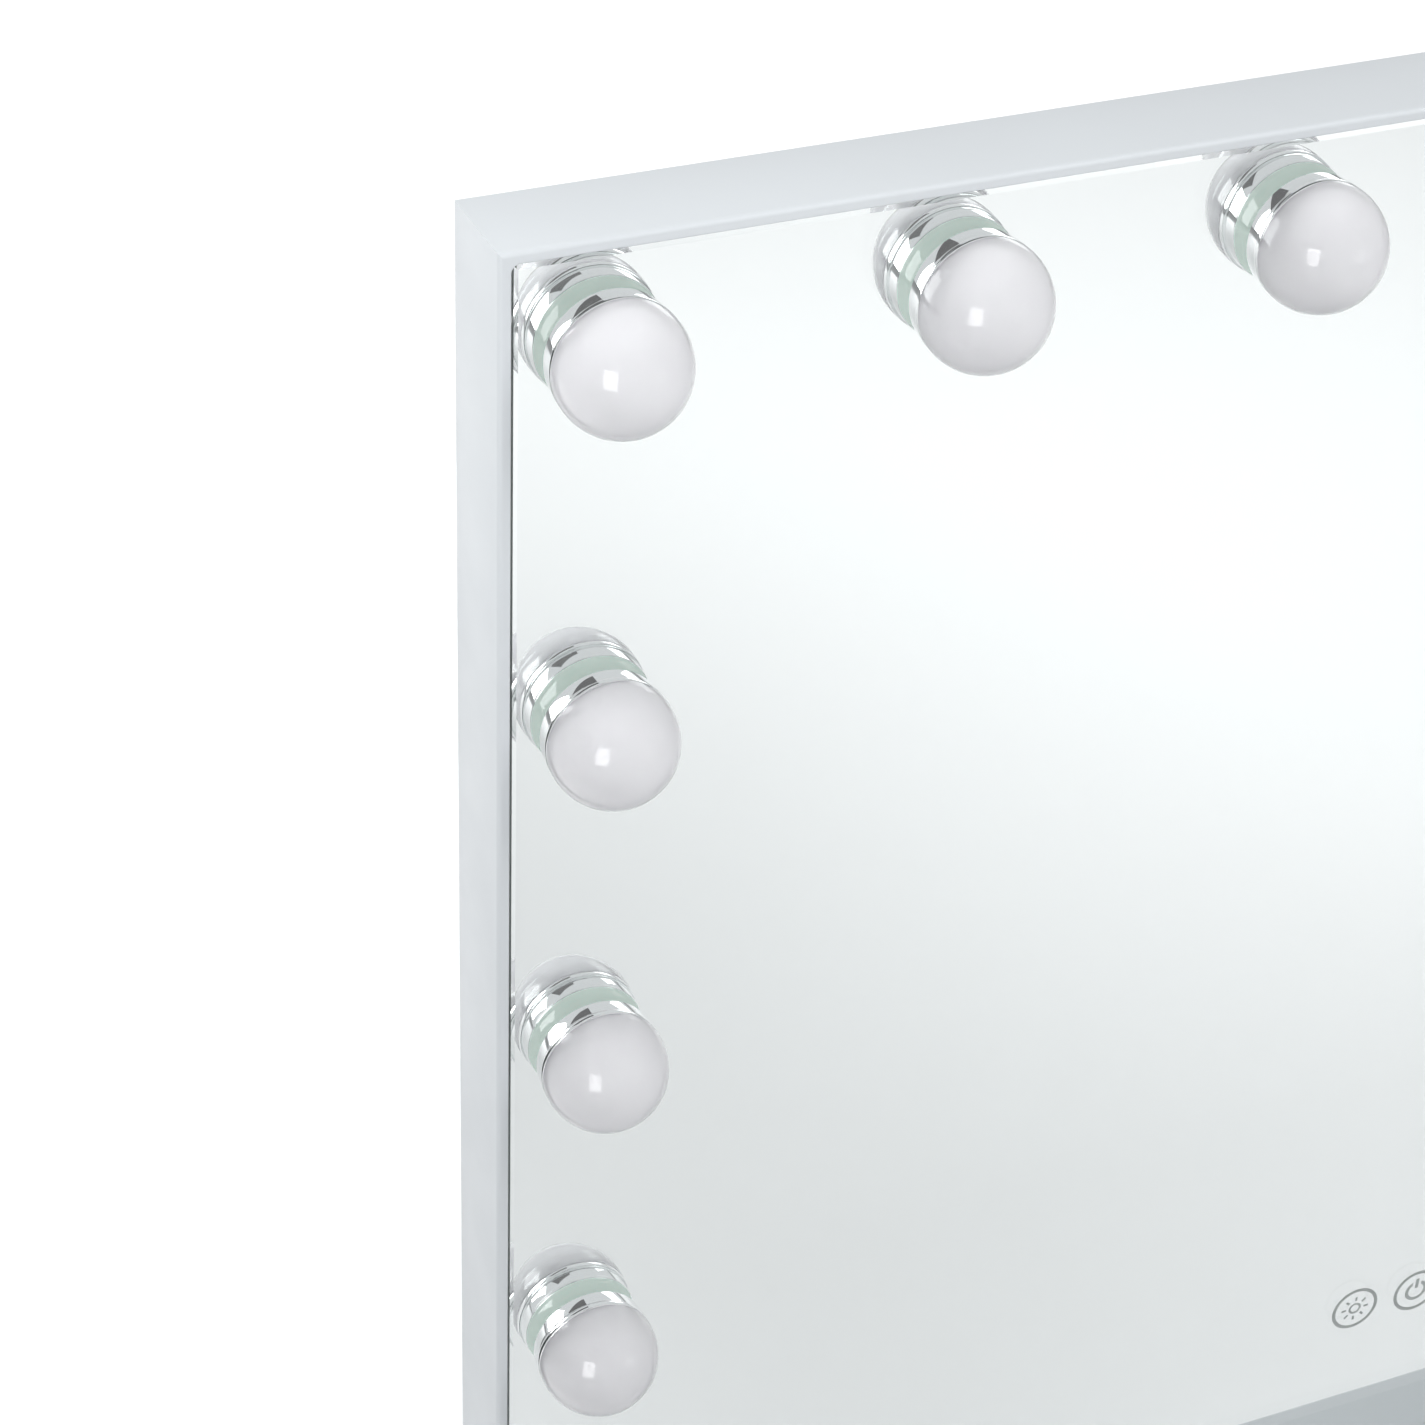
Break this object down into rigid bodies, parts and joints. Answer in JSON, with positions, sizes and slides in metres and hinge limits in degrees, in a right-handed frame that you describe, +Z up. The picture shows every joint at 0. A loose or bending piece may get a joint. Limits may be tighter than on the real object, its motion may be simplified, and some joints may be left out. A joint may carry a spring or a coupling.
{
  "type": "lighted vanity mirror",
  "caption": "Wide tabletop makeup mirror in a slim folded-metal frame, ringed on three sides by round milky bulbs in chrome collars, on a tilting low metal base.",
  "frame": {"origin": "on the table, under the centre of the base and of the whole object's box", "axes": "+X across the mirror to the right as seen from the front, -Y the way the mirror faces, +Z up"},
  "size_m": [0.58, 0.12, 0.5],
  "materials": {
    "frame_paint": "satin powder coat",
    "panel_paint": "satin powder coat",
    "zinc_steel": "zinc plated",
    "clear_glass": "polished float glass",
    "silvering": "silvered",
    "key_mark": "etched, frosted",
    "chrome": "polished",
    "milky_globe": "milky, glossy",
    "foam": "closed-cell foam",
    "circuit_board": "solder mask",
    "wire_cover": "PVC",
    "black_plastic": "fine texture",
    "washer_nylon": "plain",
    "foot_rubber": "moulded"
  },
  "bodies": {
    "stand": {"base_pan": "frame_paint", "base_ballast": "zinc_steel", "rubber_feet": "foot_rubber", "stand_upright_left": "frame_paint", "stand_upright_right": "frame_paint", "upright_screws": "zinc_steel", "friction_washers": "washer_nylon"},
    "mirror": {"back_panel": "panel_paint", "back_panel_screws": "zinc_steel", "bulb_collar_01": "chrome", "bulb_collar_02": "chrome", "bulb_collar_03": "chrome", "bulb_collar_04": "chrome", "bulb_collar_05": "chrome", "bulb_collar_06": "chrome", "bulb_collar_07": "chrome", "bulb_collar_08": "chrome", "bulb_collar_09": "chrome", "bulb_collar_10": "chrome", "bulb_collar_11": "chrome", "bulb_collar_12": "chrome", "bulb_collar_13": "chrome", "bulb_collar_14": "chrome", "bulb_collar_15": "chrome", "bulb_globe_01": "milky_globe", "bulb_globe_02": "milky_globe", "bulb_globe_03": "milky_globe", "bulb_globe_04": "milky_globe", "bulb_globe_05": "milky_globe", "bulb_globe_06": "milky_globe", "bulb_globe_07": "milky_globe", "bulb_globe_08": "milky_globe", "bulb_globe_09": "milky_globe", "bulb_globe_10": "milky_globe", "bulb_globe_11": "milky_globe", "bulb_globe_12": "milky_globe", "bulb_globe_13": "milky_globe", "bulb_globe_14": "milky_globe", "bulb_globe_15": "milky_globe", "bulb_nuts": "zinc_steel", "control_board": "circuit_board", "corner_brackets": "zinc_steel", "dc_inlet": "black_plastic", "frame_bottom_rail": "frame_paint", "frame_left_rail": "frame_paint", "frame_right_rail": "frame_paint", "frame_top_rail": "frame_paint", "glass_retaining_strips": "foam", "hinge_bracket_left": "frame_paint", "hinge_bracket_right": "frame_paint", "hinge_bracket_screws": "zinc_steel", "keyhole_plates": "zinc_steel", "led_boards": "circuit_board", "mirror_glass": "clear_glass", "mirror_silvering": "silvering", "touch_key_windows": "key_mark", "touch_sensor_boards": "circuit_board", "wiring_harness": "wire_cover"},
    "left_knob": {"tilt_knob_left": "black_plastic"},
    "right_knob": {"tilt_knob_right": "black_plastic"}
  },
  "joints": [
    {"name": "mirror_tilt", "type": "hinge", "parent": "stand", "child": "mirror", "pos_m": [0, 0.016, 0.06], "axis": [-1, 0, 0], "range_deg": [-5, 15]},
    {"name": "left_knob_turn", "type": "hinge", "parent": "mirror", "child": "left_knob", "pos_m": [-0.085, 0.016, 0.06], "axis": [-1, 0, 0], "continuous": true},
    {"name": "right_knob_turn", "type": "hinge", "parent": "mirror", "child": "right_knob", "pos_m": [0.085, 0.016, 0.06], "axis": [1, 0, 0], "continuous": true}
  ]
}
